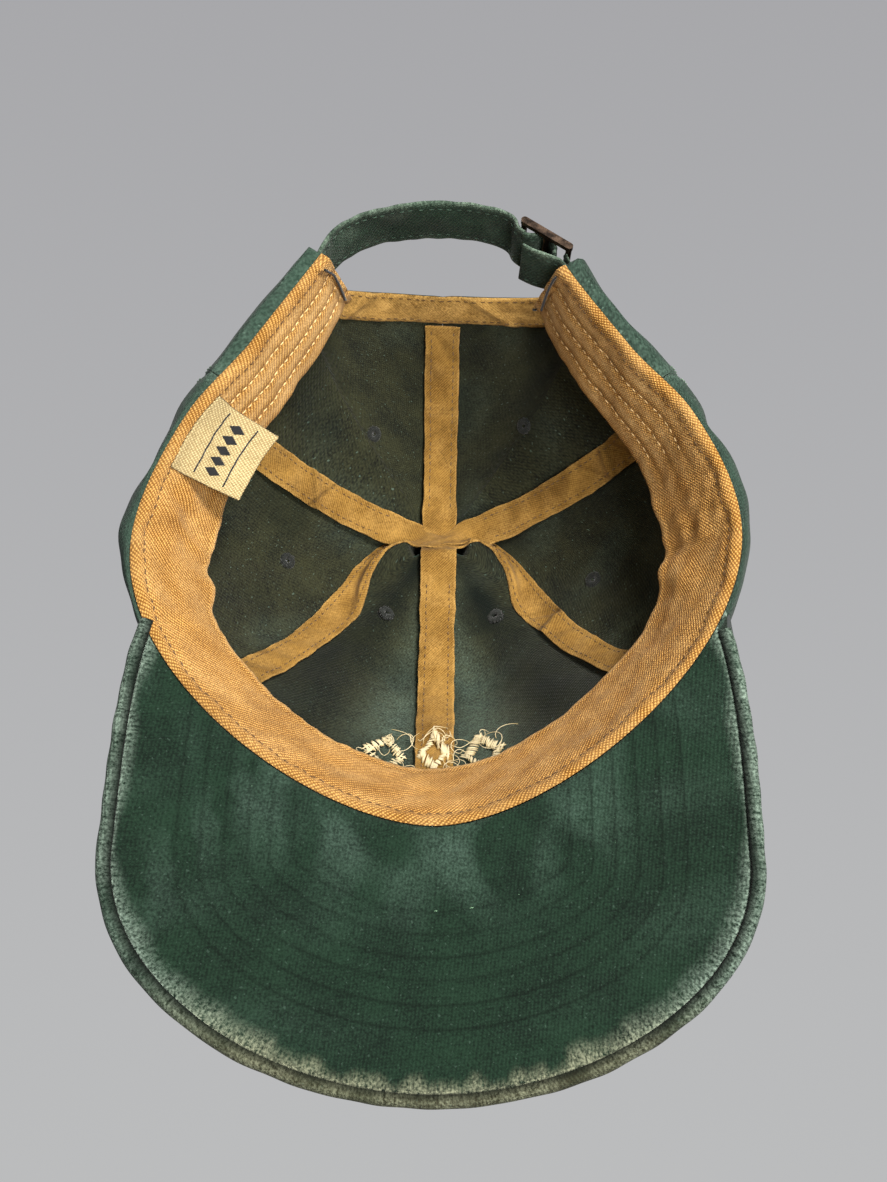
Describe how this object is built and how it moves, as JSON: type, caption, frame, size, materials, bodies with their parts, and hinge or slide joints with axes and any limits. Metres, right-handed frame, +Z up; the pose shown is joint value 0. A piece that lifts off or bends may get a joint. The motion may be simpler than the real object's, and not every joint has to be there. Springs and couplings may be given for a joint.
{
  "type": "baseball cap",
  "caption": "Soft six-panel cap with a curved stitched visor, turned-in sweatband, taped seams and a cloth back strap with a metal slide buckle.",
  "frame": {"origin": "middle of the cap's base, where the visor's sides and the back of the rim rest", "axes": "+Z up to the crown's button, -Y out over the visor, +X to the wearer's left"},
  "size_m": [0.1832, 0.2693, 0.1067],
  "materials": {
    "twill": "washed twill, matte",
    "visor_twill": "washed twill, matte",
    "board": "matte",
    "tape": "woven cotton tape, matte",
    "band": "woven cotton, matte",
    "band_core": "bonded wadding, matte",
    "strap": "folded twill, matte",
    "buckle_metal": "dark antique plating, satin",
    "rivet_metal": "satin",
    "thread_dark": "polyester thread",
    "thread_green": "polyester thread",
    "thread_cream": "polyester thread",
    "label": "woven satin label"
  },
  "bodies": {
    "root": {"panel_front_left": "twill", "panel_front_right": "twill", "panel_side_left": "twill", "panel_side_right": "twill", "panel_back_left": "twill", "panel_back_right": "twill", "seam_tape_centre": "tape", "seam_tape_left_front": "tape", "seam_tape_right_front": "tape", "arch_binding": "tape", "eyelets": "thread_green", "button_cover": "twill", "button_shell": "rivet_metal", "button_rivet": "rivet_metal", "visor_board": "board", "visor_top_cover": "visor_twill", "visor_bottom_cover": "visor_twill", "sweatband_face": "band", "sweatband_core": "band_core", "sweatband_back": "band", "strap": "strap", "buckle_tab": "strap", "bar_tacks": "thread_dark", "embroidery": "thread_cream", "embroidery_backing": "thread_cream"},
    "buckle": {"buckle_frame": "buckle_metal", "strap_loop": "strap"},
    "tail": {"strap_tail": "strap"},
    "label": {"woven_label": "label"}
  },
  "joints": [
    {"name": "buckle_swing", "type": "hinge", "parent": "root", "child": "buckle", "pos_m": [-0.03976, 0.1163, 0.0115], "axis": [0, 0, 1], "range_deg": [-8, 18]},
    {"name": "strap_slide", "type": "slide", "parent": "root", "child": "tail", "axis": [-0.5531, -0.8331, 0], "range_m": [0, 0.008]},
    {"name": "label_flap", "type": "hinge", "parent": "root", "child": "label", "pos_m": [0.07331, 0.04936, 0.00211], "axis": [0.4071, -0.9134, 0], "range_deg": [0, 30]}
  ]
}
